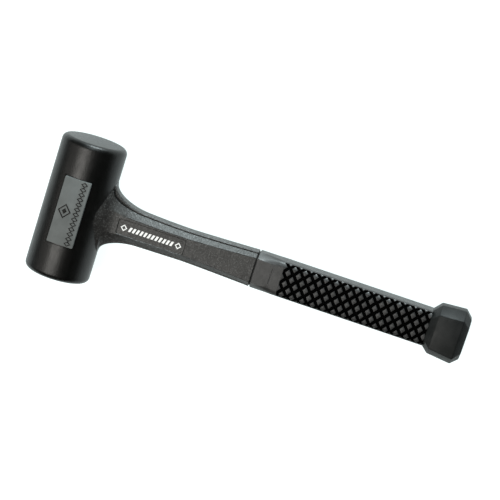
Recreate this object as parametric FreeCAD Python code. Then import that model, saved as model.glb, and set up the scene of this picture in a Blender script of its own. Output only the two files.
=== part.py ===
import FreeCAD, Part
import math
import os

from FreeCAD import Vector

# Dead blow mallet: a moulded head round a sealed steel canister of loose shot, on a steel-cored
# handle with a moulded neck, a studded grip and a flared butt cap.
#
# Frame: the origin is the centre of the lower striking face. +Y runs up the head to the upper
# striking face, +X runs along the handle to the butt, and +Z is up when the mallet lies on its
# side. All sizes are in millimetres.

# Head
HEAD_DIAMETER = 50.0
HEAD_LENGTH = 106.4
HEAD_EDGE_RADIUS = 4.5
FACE_THICKNESS = 13.0            # moulding between a canister cap and its striking face
PAD_WIDTH = 20.2                 # flat pad on each side of the head, along X
PAD_LENGTH = 51.2                # along Y
PAD_RISE = 0.35                  # how far the pad stands above the crest of the head
PAD_CORNER_RADIUS = 0.8

# Canister and shot
CANISTER_DIAMETER = 38.0
CANISTER_WALL = 2.0
CAP_THICKNESS = 3.0
CAP_SPIGOT_DEPTH = 3.0
SHOT_DIAMETER = 6.7
SHOT_GAP = 0.15                  # between neighbouring balls
SHOT_CLEARANCE = 0.4             # from the balls to the bore and the resting cap
SHOT_FILL = 0.78                 # greatest share of the free length that the charge takes

# Handle core
SADDLE_THICKNESS = 2.5
SADDLE_LENGTH = 30.0             # along Y
SADDLE_WIDTH = 24.0              # along Z
BOSS_DIAMETER = 18.0
BOSS_PROUD = 7.0                 # boss beyond the head's flank, inside the neck
CORE_DIAMETER = 10.0
CORE_COVER = 13.0                # moulding between the rivet head and the butt's end face
RIVET_NECK_DIAMETER = 7.0
RIVET_HEAD_DIAMETER = 10.0
RIVET_HEAD_HEIGHT = 1.6
WASHER_DIAMETER = 20.0
WASHER_THICKNESS = 2.5

# Handle, stations along X from the head's axis
HANDLE_REACH = 306.0             # to the butt's end face
GRIP_LENGTH = 135.2              # studded sleeve, collar included
COLLAR_LENGTH = 18.0             # from the neck seam to where the sleeve has its full section
BUTT_LENGTH = 29.0
BUTT_SHOULDER = 5.2              # slope from the grip out to the butt
BUTT_CHAMFER = 5.3               # slope at the end face

# Neck: octagonal section. The flats are the widths of the faces square to Y and Z.
WAIST_HEIGHT = 23.8              # along Y, at the slimmest station
WAIST_SHARE = 0.38               # place of the waist between the flare's end and the seam
NECK_THICKNESS = 21.6            # along Z
NECK_FRONT_FLAT = 13.2
NECK_TOP_FLAT = 9.6
SEAM_HEIGHT = 27.4
SEAM_FRONT_FLAT = 19.0
FLARE_REACH = 29.0               # from the head's flank to where the height stops falling
FLARE_END_HEIGHT = 25.0
FLARE_RISE_Y = 14.1              # growth of the half height at the head's flank
FLARE_SIDE_RISE = 8.0            # growth of the half thickness at the flare's root
FLARE_SIDE_REACH = 9.0           # from the flank to where the thickness stops growing
FLARE_ROOT = 9.0                 # the flare's first section lies this far inside the flank
FLARE_FRONT_GROWTH = 3.0         # widening of the front flat at the head, each way
FLARE_UPPER_GROWTH = 2.5         # the upper side's extra half height at the head
FLARE_UPPER_REACH = 55.0         # from the head's flank to where that extra ends
FLARE_STEPS = 9
SEAM_STEP = 0.4                  # the grip stands this much proud of the neck at the seam

# Grip and butt
GRIP_HEIGHT = 27.4
GRIP_THICKNESS = 22.4
GRIP_CORNER_RADIUS = 5.0
BUTT_HEIGHT = 36.6
BUTT_THICKNESS = 30.6
BUTT_END_HEIGHT = 40.6
BUTT_END_THICKNESS = 33.0
BUTT_UPPER_GROWTH = 1.5          # the upper side's extra half height at the shoulder
BUTT_END_UPPER_GROWTH = 0.9      # and at the end
BUTT_TOP_FLAT = 11.0
BUTT_BEVEL_HEIGHT = 5.9          # height of the butt's sloping corner faces, along Y

# Places that follow
HEAD_RADIUS = HEAD_DIAMETER / 2
AXIS_Y = HEAD_LENGTH / 2
CANISTER_RADIUS = CANISTER_DIAMETER / 2
BORE_RADIUS = CANISTER_RADIUS - CANISTER_WALL
CAP_OUTER_LOW = FACE_THICKNESS
CAP_OUTER_HIGH = HEAD_LENGTH - FACE_THICKNESS
TUBE_LOW = CAP_OUTER_LOW + CAP_THICKNESS
TUBE_HIGH = CAP_OUTER_HIGH - CAP_THICKNESS
FREE_LOW = TUBE_LOW + CAP_SPIGOT_DEPTH
FREE_HIGH = TUBE_HIGH - CAP_SPIGOT_DEPTH
SHOT_PITCH = SHOT_DIAMETER + SHOT_GAP
BOSS_END_X = HEAD_RADIUS + BOSS_PROUD
BUTT_START_X = HANDLE_REACH - BUTT_LENGTH
SEAM_X = BUTT_START_X - GRIP_LENGTH
RIVET_TOP_X = HANDLE_REACH - CORE_COVER
WASHER_END_X = RIVET_TOP_X - RIVET_HEAD_HEIGHT
CORE_SHOULDER_X = WASHER_END_X - WASHER_THICKNESS
FLARE_END_X = HEAD_RADIUS + FLARE_REACH

ALONG_X = Vector(1, 0, 0)
ALONG_Y = Vector(0, 1, 0)


def y_cylinder(radius, low, high):
    """Cylinder about the head's axis between two heights."""
    return Part.makeCylinder(radius, high - low, Vector(0, low, 0), ALONG_Y)


def x_cylinder(radius, start, end):
    """Cylinder about the handle's axis between two stations."""
    return Part.makeCylinder(radius, end - start, Vector(start, AXIS_Y, 0), ALONG_X)


def octagon(x, height, thickness, front_flat, top_flat, upper_growth=0.0):
    """Eight-sided section across the handle at station x, its upper side that much further out."""
    lower, half_z = height / 2, thickness / 2
    upper = lower + upper_growth
    flat_y, flat_z = front_flat / 2, top_flat / 2
    upper_flat = flat_y + upper_growth
    corners = [(upper_flat, half_z), (upper, flat_z), (upper, -flat_z), (upper_flat, -half_z),
               (-flat_y, -half_z), (-lower, -flat_z), (-lower, flat_z), (-flat_y, half_z)]
    points = [Vector(x, AXIS_Y + y, z) for y, z in corners]
    return Part.makePolygon(points + points[:1])


def rounded_section(x, height, thickness, radius):
    """Rounded rectangle across the handle, with its edges in the octagon's order."""
    half_y, half_z = height / 2, thickness / 2
    flat_y, flat_z = half_y - radius, half_z - radius
    diagonal = radius * math.sqrt(0.5)
    edges = []
    turns = [(1, 1), (1, -1), (-1, -1), (-1, 1)]
    for index, (sy, sz) in enumerate(turns):
        by_face = Vector(x, AXIS_Y + sy * flat_y, sz * half_z)
        middle = Vector(x, AXIS_Y + sy * (flat_y + diagonal), sz * (flat_z + diagonal))
        by_top = Vector(x, AXIS_Y + sy * half_y, sz * flat_z)
        first, last = (by_face, by_top) if sy * sz > 0 else (by_top, by_face)
        next_y, next_z = turns[(index + 1) % 4]
        if next_y == sy:
            onward = Vector(x, AXIS_Y + sy * half_y, next_z * flat_z)
        else:
            onward = Vector(x, AXIS_Y + next_y * flat_y, sz * half_z)
        edges.append(Part.Arc(first, middle, last).toShape())
        edges.append(Part.LineSegment(last, onward).toShape())
    return Part.Wire(edges)


def loft(sections):
    """Closed solid through sections, straight from each to the next."""
    return Part.makeLoft(sections, True, True)


def core_bore(solid):
    """Take the room of the handle's steel core out of a moulding."""
    return solid.cut(x_cylinder(CORE_DIAMETER / 2, 0, CORE_SHOULDER_X))


def head_pad(side):
    """Block whose outer face is the flat pad; side is 1 for the top side, -1 for the other."""
    height = HEAD_RADIUS + PAD_RISE
    corner = Vector(-PAD_WIDTH / 2, AXIS_Y - PAD_LENGTH / 2, 0)
    block = Part.makeBox(PAD_WIDTH, PAD_LENGTH, height, corner)
    upright = [edge for edge in block.Edges
               if abs(edge.tangentAt(edge.FirstParameter).z) > 0.99]
    block = block.makeFillet(PAD_CORNER_RADIUS, upright)
    if side < 0:
        block = block.mirror(Vector(0, 0, 0), Vector(0, 0, 1))
    return block


def head_casing():
    """Moulded head with its rounded rims and side pads, hollow round the canister and saddle."""
    body = y_cylinder(HEAD_RADIUS, 0, HEAD_LENGTH)
    rims = [edge for edge in body.Edges if isinstance(edge.Curve, Part.Circle)]
    body = body.makeFillet(HEAD_EDGE_RADIUS, rims)
    body = body.fuse(head_pad(1)).fuse(head_pad(-1)).removeSplitter()
    body = body.cut(y_cylinder(CANISTER_RADIUS, CAP_OUTER_LOW, CAP_OUTER_HIGH))
    return core_bore(body.cut(saddle_blank()))


def canister_tube():
    """Steel tube that holds the shot."""
    outer = y_cylinder(CANISTER_RADIUS, TUBE_LOW, TUBE_HIGH)
    return outer.cut(y_cylinder(BORE_RADIUS, TUBE_LOW, TUBE_HIGH))


def canister_cap(outer, seat, inner):
    """Steel end cap: a flange over the tube's end and a spigot in its bore."""
    flange = y_cylinder(CANISTER_RADIUS, min(outer, seat), max(outer, seat))
    return flange.fuse(y_cylinder(BORE_RADIUS, min(seat, inner), max(seat, inner)))


def shot_rings():
    """Ball counts of the rings that fit in the bore, the single middle ball left out."""
    room = BORE_RADIUS - SHOT_CLEARANCE - SHOT_DIAMETER / 2
    counts = []
    count = 6
    while SHOT_PITCH / (2 * math.sin(math.pi / count)) <= room:
        counts.append(count)
        count += 6
    return counts


def steel_shot():
    """The loose charge as separate balls, in layers up from the lower cap."""
    layers = int(((FREE_HIGH - FREE_LOW) * SHOT_FILL - SHOT_DIAMETER) / SHOT_PITCH) + 1
    balls = []
    for layer in range(layers):
        y = FREE_LOW + SHOT_CLEARANCE + SHOT_DIAMETER / 2 + layer * SHOT_PITCH
        balls.append(Part.makeSphere(SHOT_DIAMETER / 2, Vector(0, y, 0)))
        for count in shot_rings():
            radius = SHOT_PITCH / (2 * math.sin(math.pi / count))
            start = 0 if count % 12 else math.pi / count
            for index in range(count):
                angle = start + 2 * math.pi * index / count
                centre = Vector(radius * math.cos(angle), y, radius * math.sin(angle))
                balls.append(Part.makeSphere(SHOT_DIAMETER / 2, centre))
    return Part.makeCompound(balls)


def saddle_blank():
    """Curved plate on the canister's flank with a round boss, before it is bored."""
    low, high = AXIS_Y - SADDLE_LENGTH / 2, AXIS_Y + SADDLE_LENGTH / 2
    shell = y_cylinder(CANISTER_RADIUS + SADDLE_THICKNESS, low, high)
    room = Part.makeBox(HEAD_RADIUS, SADDLE_LENGTH, SADDLE_WIDTH,
                        Vector(0, low, -SADDLE_WIDTH / 2))
    plate = shell.common(room)
    blank = plate.fuse(x_cylinder(BOSS_DIAMETER / 2, 0, BOSS_END_X))
    return blank.cut(y_cylinder(CANISTER_RADIUS, CAP_OUTER_LOW, CAP_OUTER_HIGH))


def core_saddle():
    """Steel saddle welded to the canister, with the socket of the core."""
    return core_bore(saddle_blank())


def handle_core():
    """Steel rod from the canister's flank to the butt, its end riveted over the washer."""
    rod = x_cylinder(CORE_DIAMETER / 2, CANISTER_RADIUS, CORE_SHOULDER_X)
    neck = x_cylinder(RIVET_NECK_DIAMETER / 2, CORE_SHOULDER_X, WASHER_END_X)
    rivet = x_cylinder(RIVET_HEAD_DIAMETER / 2, WASHER_END_X, RIVET_TOP_X)
    return rod.fuse(neck).fuse(rivet)


def core_washer():
    """Steel washer under the rivet head, which keeps the grip and butt on the core."""
    disc = x_cylinder(WASHER_DIAMETER / 2, CORE_SHOULDER_X, WASHER_END_X)
    return disc.cut(x_cylinder(RIVET_NECK_DIAMETER / 2, CORE_SHOULDER_X, WASHER_END_X))


def flare_section(x):
    """Neck section between the head and the flare's end."""
    side = (HEAD_RADIUS + FLARE_SIDE_REACH - x) / (FLARE_SIDE_REACH + FLARE_ROOT)
    rise = min((FLARE_END_X - x) / FLARE_REACH, 1.0)
    grown_y = 1 - math.sqrt(1 - rise ** 2)
    grown_z = max(side, 0.0) ** 2
    upper_share = min((HEAD_RADIUS + FLARE_UPPER_REACH - x) / FLARE_UPPER_REACH, 1.0)
    return octagon(x, FLARE_END_HEIGHT + 2 * FLARE_RISE_Y * grown_y,
                   NECK_THICKNESS + 2 * FLARE_SIDE_RISE * grown_z,
                   NECK_FRONT_FLAT + 2 * FLARE_FRONT_GROWTH * grown_y, NECK_TOP_FLAT,
                   FLARE_UPPER_GROWTH * upper_share ** 2)


def neck_sleeve():
    """Moulded neck: a saddle-shaped flare on the head's flank that narrows to an octagon."""
    stations = [HEAD_RADIUS - FLARE_ROOT]
    for step in range(FLARE_STEPS, -1, -1):
        angle = math.pi / 2 * step / FLARE_STEPS
        stations.append(FLARE_END_X - FLARE_REACH * math.sin(angle))
    sections = [flare_section(x) for x in stations]
    waist_x = FLARE_END_X + (SEAM_X - FLARE_END_X) * WAIST_SHARE
    sections.append(octagon(waist_x, WAIST_HEIGHT, NECK_THICKNESS,
                            NECK_FRONT_FLAT, NECK_TOP_FLAT))
    sections.append(octagon(SEAM_X, SEAM_HEIGHT, NECK_THICKNESS,
                            SEAM_FRONT_FLAT, NECK_TOP_FLAT))
    neck = loft(sections).cut(y_cylinder(HEAD_RADIUS, 0, HEAD_LENGTH))
    return core_bore(neck.cut(x_cylinder(BOSS_DIAMETER / 2, 0, BOSS_END_X)))


def grip_sleeve():
    """Rubber grip: a bevelled collar at the neck that runs into a rounded section."""
    collar = octagon(SEAM_X, SEAM_HEIGHT + SEAM_STEP, NECK_THICKNESS + SEAM_STEP,
                     SEAM_FRONT_FLAT, NECK_TOP_FLAT)
    full = [rounded_section(x, GRIP_HEIGHT, GRIP_THICKNESS, GRIP_CORNER_RADIUS)
            for x in (SEAM_X + COLLAR_LENGTH, BUTT_START_X)]
    return core_bore(loft([collar] + full))


def butt_section(x, height, thickness, upper_growth=0.0):
    """Section of the butt cap, with corner faces of one size."""
    return octagon(x, height, thickness, height - 2 * BUTT_BEVEL_HEIGHT, BUTT_TOP_FLAT,
                   upper_growth)


def butt_cap():
    """Flared octagonal butt, moulded over the riveted end of the core."""
    slope = BUTT_CHAMFER * 2
    cap = loft([
        butt_section(BUTT_START_X, GRIP_HEIGHT, GRIP_THICKNESS),
        butt_section(BUTT_START_X + BUTT_SHOULDER, BUTT_HEIGHT, BUTT_THICKNESS,
                     BUTT_UPPER_GROWTH),
        butt_section(HANDLE_REACH - BUTT_CHAMFER, BUTT_END_HEIGHT, BUTT_END_THICKNESS,
                     BUTT_END_UPPER_GROWTH),
        octagon(HANDLE_REACH, BUTT_END_HEIGHT - slope, BUTT_END_THICKNESS - slope,
                BUTT_END_HEIGHT - slope - 2 * BUTT_BEVEL_HEIGHT, BUTT_TOP_FLAT,
                BUTT_END_UPPER_GROWTH),
    ])
    cap = cap.cut(x_cylinder(WASHER_DIAMETER / 2, CORE_SHOULDER_X, WASHER_END_X))
    cap = cap.cut(x_cylinder(RIVET_HEAD_DIAMETER / 2, WASHER_END_X, RIVET_TOP_X))
    return core_bore(cap)


def main():
    """Build every piece and write one file for each."""
    pieces = {
        "head_casing": head_casing(),
        "canister_tube": canister_tube(),
        "canister_cap_lower": canister_cap(CAP_OUTER_LOW, TUBE_LOW, FREE_LOW),
        "canister_cap_upper": canister_cap(CAP_OUTER_HIGH, TUBE_HIGH, FREE_HIGH),
        "steel_shot": steel_shot(),
        "core_saddle": core_saddle(),
        "handle_core": handle_core(),
        "core_washer": core_washer(),
        "neck_sleeve": neck_sleeve(),
        "grip_sleeve": grip_sleeve(),
        "butt_cap": butt_cap(),
    }
    os.makedirs("parts", exist_ok=True)
    for name, shape in pieces.items():
        shape.exportStep("parts/" + name + ".step")
        box = shape.BoundBox
        print("%-20s %3d solids %9.0f mm3  valid %s  x %.1f..%.1f y %.1f..%.1f z %.1f..%.1f" % (
            name, len(shape.Solids), shape.Volume, shape.isValid(),
            box.XMin, box.XMax, box.YMin, box.YMax, box.ZMin, box.ZMax))
    shot_box = pieces["steel_shot"].BoundBox
    print("shot travel %.2f mm" % (FREE_HIGH - SHOT_CLEARANCE - shot_box.YMax))


main()
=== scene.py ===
"""Dead blow mallet: its visible pieces and finishes, the studio and the camera, built round the frame."""

import logging
import math
from collections.abc import Callable, Iterable, Sequence
from dataclasses import dataclass
from enum import Enum

import bmesh
import bpy
from mathutils import Matrix, Vector


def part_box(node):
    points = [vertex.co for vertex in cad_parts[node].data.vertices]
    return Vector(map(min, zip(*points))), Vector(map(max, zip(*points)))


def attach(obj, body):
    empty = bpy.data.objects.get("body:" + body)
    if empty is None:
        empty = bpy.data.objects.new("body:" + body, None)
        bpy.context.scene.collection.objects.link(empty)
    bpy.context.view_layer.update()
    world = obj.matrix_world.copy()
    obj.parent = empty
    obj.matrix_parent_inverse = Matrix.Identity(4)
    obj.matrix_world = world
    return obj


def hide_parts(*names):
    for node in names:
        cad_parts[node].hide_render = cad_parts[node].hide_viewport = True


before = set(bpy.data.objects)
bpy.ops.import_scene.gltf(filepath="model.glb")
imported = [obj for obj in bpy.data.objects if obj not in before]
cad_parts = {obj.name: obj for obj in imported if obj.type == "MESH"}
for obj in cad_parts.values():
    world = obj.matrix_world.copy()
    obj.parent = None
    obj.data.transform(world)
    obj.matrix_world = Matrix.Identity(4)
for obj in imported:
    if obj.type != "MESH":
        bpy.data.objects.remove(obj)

LOG = logging.getLogger("mallet")
MM = 0.001
BODY = "mallet"
SHOT_BODY = "shot_charge"
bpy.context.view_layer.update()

Point = tuple[float, float, float]
Colour = tuple[float, float, float]
Pair = tuple[float, float]
Stop = tuple[float, Colour]
Shape = bmesh.types.BMesh
Vert = bmesh.types.BMVert
Node = bpy.types.Node

COOL: Colour = (0.86, 0.98, 1.0)
WARM: Colour = (1.0, 0.98, 0.93)


class Side(Enum):
    """The two broad sides of the mallet as it lies on the bench."""

    UPPER = 1
    LOWER = -1

    @property
    def word(self) -> str:
        """The word used for this side in the names of pieces."""
        return self.name.lower()


class Grain(Enum):
    """Surface textures that the moulds leave, as (cell size in mm, bump height in mm)."""

    SATIN = (1.00, 0.080)
    FINE = (0.80, 0.050)
    COARSE = (1.10, 0.220)
    SMOOTH = (0.80, 0.018)


# --- Finishes ---


class NodeSheet:
    """A material's node tree, with short ways to add and join its nodes."""

    def __init__(self, name: str) -> None:
        """Start an empty material.

        Args:
            name: The material's name.
        """
        self.material = bpy.data.materials.new(name)
        self.material.use_nodes = True
        self.tree = self.material.node_tree
        self.tree.nodes.clear()
        self.output = self.add("ShaderNodeOutputMaterial")
        self.shader = self.add("ShaderNodeBsdfPrincipled")
        self.join(self.shader, "BSDF", self.output, "Surface")
        self.place = self.add("ShaderNodeTexCoord")

    def add(self, kind: str, **values: object) -> Node:
        """Add a node and set its sockets or properties by name.

        Args:
            kind: The node's type name.
            values: Property names, or socket names with underscores for spaces.

        Returns:
            The new node.
        """
        node = self.tree.nodes.new(kind)
        for key, value in values.items():
            socket = node.inputs.get(key.replace("_", " "))
            if socket is None:
                setattr(node, key, value)
            else:
                socket.default_value = value
        return node

    def join(self, source: Node, output: str, target: Node, socket: str) -> None:
        """Link one node's output to another node's input."""
        self.tree.links.new(source.outputs[output], target.inputs[socket])

    def noise(self, cell: float, detail: float = 3.0, stretch: Point = (1.0, 1.0, 1.0)) -> Node:
        """Noise on object coordinates.

        Args:
            cell: Size of one feature in metres.
            detail: Octaves of finer noise.
            stretch: Scale along each axis, below one to draw the pattern out.

        Returns:
            The noise node.
        """
        mapping = self.add("ShaderNodeMapping", Scale=stretch)
        self.join(self.place, "Object", mapping, "Vector")
        noise = self.add("ShaderNodeTexNoise", Scale=1.0 / cell, Detail=detail)
        self.join(mapping, "Vector", noise, "Vector")
        return noise

    def ramp(self, source: Node, output: str, low: Stop, high: Stop) -> Node:
        """Turn a value into a blend of two colours.

        Args:
            source: The node that gives the value.
            output: Its output's name.
            low: Position and colour of the ramp's first stop.
            high: Position and colour of its last stop.

        Returns:
            The colour ramp node.
        """
        ramp = self.add("ShaderNodeValToRGB")
        for stop, (position, colour) in zip(ramp.color_ramp.elements, (low, high)):
            stop.position = position
            stop.color = (*colour, 1.0)
        self.join(source, output, ramp, "Fac")
        return ramp

    def range(self, source: Node, output: str, low: float, high: float) -> Node:
        """Map a value's middle range to another range, held at its ends.

        Args:
            source: The node that gives the value.
            output: Its output's name.
            low: What the range starts at.
            high: What it ends at.

        Returns:
            The map range node.
        """
        mapped = self.add("ShaderNodeMapRange", From_Min=0.3, From_Max=0.7, To_Min=low, To_Max=high)
        self.join(source, output, mapped, "Value")
        return mapped

    def blend(self, kind: str, first: Node, second: Node) -> Node:
        """Blend two colours in full.

        Args:
            kind: The type of blend.
            first: The node that gives the colour below.
            second: The node that gives the colour laid on it.

        Returns:
            The mix node.
        """
        mixed = self.add("ShaderNodeMixRGB", blend_type=kind, Fac=1.0)
        self.join(first, "Color", mixed, "Color1")
        self.join(second, "Color", mixed, "Color2")
        return mixed

    def bump(self, source: Node, output: str, height: float, under: Node | None = None) -> Node:
        """Bump from a value.

        Args:
            source: The node that gives the height.
            output: Its output's name.
            height: Real height of the bump in metres.
            under: An earlier bump that this one lies on.

        Returns:
            The bump node.
        """
        bump = self.add("ShaderNodeBump", Strength=1.0, Distance=height)
        self.join(source, output, bump, "Height")
        if under is not None:
            self.join(under, "Normal", bump, "Normal")
        return bump


@dataclass(frozen=True)
class MouldedFinish:
    """Black moulded rubber or plastic: mould grain, slow mottling of colour and gloss, fine scuffs, and
    painted glints on the grain where asked for.
    """

    name: str
    dark: Colour
    light: Colour
    gloss: Pair
    grain: Grain
    mottle: float = 9.0
    painted_glint: float = 0.0
    shine: float = 0.30
    scuff: float = 2.2 * MM
    scuff_depth: float = 0.010 * MM

    def build(self) -> bpy.types.Material:
        """Make the material.

        Returns:
            The finished material.
        """
        sheet = NodeSheet(self.name)
        cell, height = self.grain.value
        slow = sheet.noise(self.mottle * MM, 4.0)
        grain = sheet.noise(cell * MM, 2.0)
        scuff = sheet.noise(self.scuff, 6.0, (1.0, 0.35, 1.0))
        colour = sheet.ramp(slow, "Fac", (0.32, self.dark), (0.68, self.light))
        tint = colour
        if self.painted_glint > 0:
            # Painted glints: light specks added to the colour on the grain's peaks, standing in for the
            # sparkle of light on the grain.
            glint = sheet.ramp(grain, "Fac", (0.52, (0.0, 0.0, 0.0)), (0.72, (self.painted_glint,) * 3))
            tint = sheet.blend("ADD", colour, glint)
        sheet.shader.inputs["Specular IOR Level"].default_value = self.shine
        tint = self.shade(sheet, tint)
        sheet.join(tint, "Color", sheet.shader, "Base Color")
        sheet.join(sheet.range(scuff, "Fac", *self.gloss), "Result", sheet.shader, "Roughness")
        rough = sheet.bump(grain, "Fac", height * MM)
        worn = sheet.bump(scuff, "Fac", self.scuff_depth, rough)
        sheet.join(worn, "Normal", sheet.shader, "Normal")
        return sheet.material

    def shade(self, sheet: NodeSheet, colour: Node) -> Node:
        """Change the colour by place; a plain moulding keeps it."""
        return colour


@dataclass(frozen=True)
class StuddedFinish(MouldedFinish):
    """Moulded rubber with painted shade at the bottom of its grooves: darker colour and dimmer reflections
    there.
    """

    start_x: float = 0.0
    middle: float = 0.0
    flat: Pair = (0.0, 0.0)
    corner: float = 0.0
    groove_top: float = 0.15 * MM
    groove_bottom: float = 0.75 * MM
    # Painted shade: the colour at the groove bottoms is darkened to this share and their specular level
    # dimmed to the next value.
    painted_groove_shade: float = 0.02
    painted_groove_dim_shine: float = 0.01
    run_in: float = 0.3 * MM

    def shade(self, sheet: NodeSheet, colour: Node) -> Node:
        """Paint shade by depth under the stud tops: darker colour and dimmer reflections in the grooves.

        Args:
            sheet: The material's nodes.
            colour: The rubber's own colour.

        Returns:
            The node with the darkened colour.
        """
        source = sheet.place.outputs["Object"]
        for operation, value in (
            ("SUBTRACT", (0.0, self.middle, 0.0)),
            ("MULTIPLY", (0.0, 1.0, 1.0)),
            ("ABSOLUTE", None),
            ("SUBTRACT", (0.0, *self.flat)),
            ("MAXIMUM", (0.0, 0.0, 0.0)),
        ):
            node = sheet.add("ShaderNodeVectorMath", operation=operation)
            if value is not None:
                node.inputs[1].default_value = value
            sheet.tree.links.new(source, node.inputs[0])
            source = node.outputs["Vector"]
        reach = sheet.add("ShaderNodeVectorMath", operation="LENGTH")
        sheet.tree.links.new(source, reach.inputs[0])
        height = sheet.add("ShaderNodeMapRange", From_Min=self.corner - self.groove_bottom,
                           From_Max=self.corner - self.groove_top, To_Min=0.0, To_Max=1.0)
        sheet.join(reach, "Value", height, "Value")
        along = sheet.add("ShaderNodeSeparateXYZ")
        sheet.join(sheet.place, "Object", along, "Vector")
        collar = sheet.add("ShaderNodeMapRange", From_Min=self.start_x - self.run_in, From_Max=self.start_x,
                           To_Min=1.0, To_Max=0.0)
        sheet.join(along, "X", collar, "Value")
        clear = sheet.add("ShaderNodeMath", operation="MAXIMUM")
        sheet.tree.links.new(height.outputs["Result"], clear.inputs[0])
        sheet.tree.links.new(collar.outputs["Result"], clear.inputs[1])
        # Painted shade: the colour darkens and the reflections dim towards the groove bottoms, but not on
        # the collar.
        shadow = sheet.ramp(clear, "Value", (0.0, (self.painted_groove_shade,) * 3), (1.0, (1.0, 1.0, 1.0)))
        shine = sheet.add("ShaderNodeMapRange", From_Min=0.0, From_Max=1.0,
                          To_Min=self.painted_groove_dim_shine, To_Max=self.shine)
        sheet.join(clear, "Value", shine, "Value")
        sheet.join(shine, "Result", sheet.shader, "Specular IOR Level")
        return sheet.blend("MULTIPLY", colour, shadow)


@dataclass(frozen=True)
class SteelFinish:
    """Bare or plated steel with drawing lines along one axis and faint staining."""

    name: str
    dark: Colour
    light: Colour
    gloss: Pair
    lines: Point

    def build(self) -> bpy.types.Material:
        """Make the material.

        Returns:
            The finished material.
        """
        sheet = NodeSheet(self.name)
        sheet.shader.inputs["Metallic"].default_value = 1.0
        stain = sheet.noise(6.0 * MM, 4.0)
        drawn = sheet.noise(0.35 * MM, 2.0, self.lines)
        colour = sheet.ramp(stain, "Fac", (0.3, self.dark), (0.7, self.light))
        sheet.join(colour, "Color", sheet.shader, "Base Color")
        sheet.join(sheet.range(drawn, "Fac", *self.gloss), "Result", sheet.shader, "Roughness")
        bump = sheet.bump(drawn, "Fac", 0.008 * MM)
        sheet.join(bump, "Normal", sheet.shader, "Normal")
        return sheet.material


@dataclass(frozen=True)
class PrintFinish:
    """White pad print, slightly uneven where the ink is thin."""

    name: str
    thin: Colour
    full: Colour

    def build(self) -> bpy.types.Material:
        """Make the material.

        Returns:
            The finished material.
        """
        sheet = NodeSheet(self.name)
        sheet.shader.inputs["Roughness"].default_value = 0.45
        cover = sheet.noise(0.8 * MM, 4.0)
        ink = sheet.ramp(cover, "Fac", (0.30, self.thin), (0.46, self.full))
        sheet.join(ink, "Color", sheet.shader, "Base Color")
        bump = sheet.bump(cover, "Fac", 0.010 * MM)
        sheet.join(bump, "Normal", sheet.shader, "Normal")
        return sheet.material


HEAD_FINISH = MouldedFinish(
    "casing_satin_black", (0.0012, 0.0012, 0.0010), (0.0020, 0.0018, 0.0016), (0.34, 0.42),
    Grain.SATIN,
)
PAD_FINISH = MouldedFinish(
    "pad_matt_grey", (0.095, 0.102, 0.101), (0.115, 0.123, 0.122), (0.62, 0.74), Grain.FINE,
)
# Painted shade: the pad's relief is near black to stand in for the shade along the edges of embossed marks.
RELIEF_SHADE_FINISH = MouldedFinish(
    "relief_painted_shade", (0.004, 0.004, 0.004), (0.008, 0.008, 0.007), (0.50, 0.60), Grain.SMOOTH,
    shine=0.12,
)
NECK_FINISH = MouldedFinish(
    "neck_grained_black", (0.013, 0.0125, 0.012), (0.023, 0.0225, 0.0215), (0.36, 0.48),
    # 0.045 is the strength of the painted glints on the grain.
    Grain.COARSE, 7.0, 0.045, 0.27,
)
BUTT_FINISH = MouldedFinish(
    "butt_smooth_black", (0.009, 0.010, 0.010), (0.015, 0.016, 0.016), (0.38, 0.48), Grain.FINE,
    shine=0.10,
)
PRINT_FINISH = PrintFinish("white_print", (0.55, 0.55, 0.55), (0.86, 0.86, 0.85))
CANISTER_FINISH = SteelFinish(
    "drawn_steel", (0.42, 0.41, 0.40), (0.56, 0.55, 0.54), (0.28, 0.42), (1.0, 0.03, 1.0),
)
CORE_FINISH = SteelFinish(
    "rolled_steel", (0.20, 0.19, 0.18), (0.36, 0.35, 0.33), (0.38, 0.55), (0.03, 1.0, 1.0),
)
ZINC_FINISH = SteelFinish(
    "zinc_plate", (0.55, 0.55, 0.52), (0.68, 0.68, 0.64), (0.22, 0.36), (1.0, 1.0, 1.0),
)
SHOT_FINISH = SteelFinish(
    "shot_steel", (0.38, 0.37, 0.36), (0.52, 0.51, 0.50), (0.16, 0.30), (1.0, 1.0, 1.0),
)


# --- Workshop: turning bmeshes into pieces ---


@dataclass
class Piece:
    """What a finished piece is called, made of, rides on and stands for."""

    name: str
    finish: MouldedFinish | SteelFinish | PrintFinish
    slot: str
    stands_for: tuple[str, ...] = ()
    body: str = BODY
    crease: float = 32.0


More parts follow.
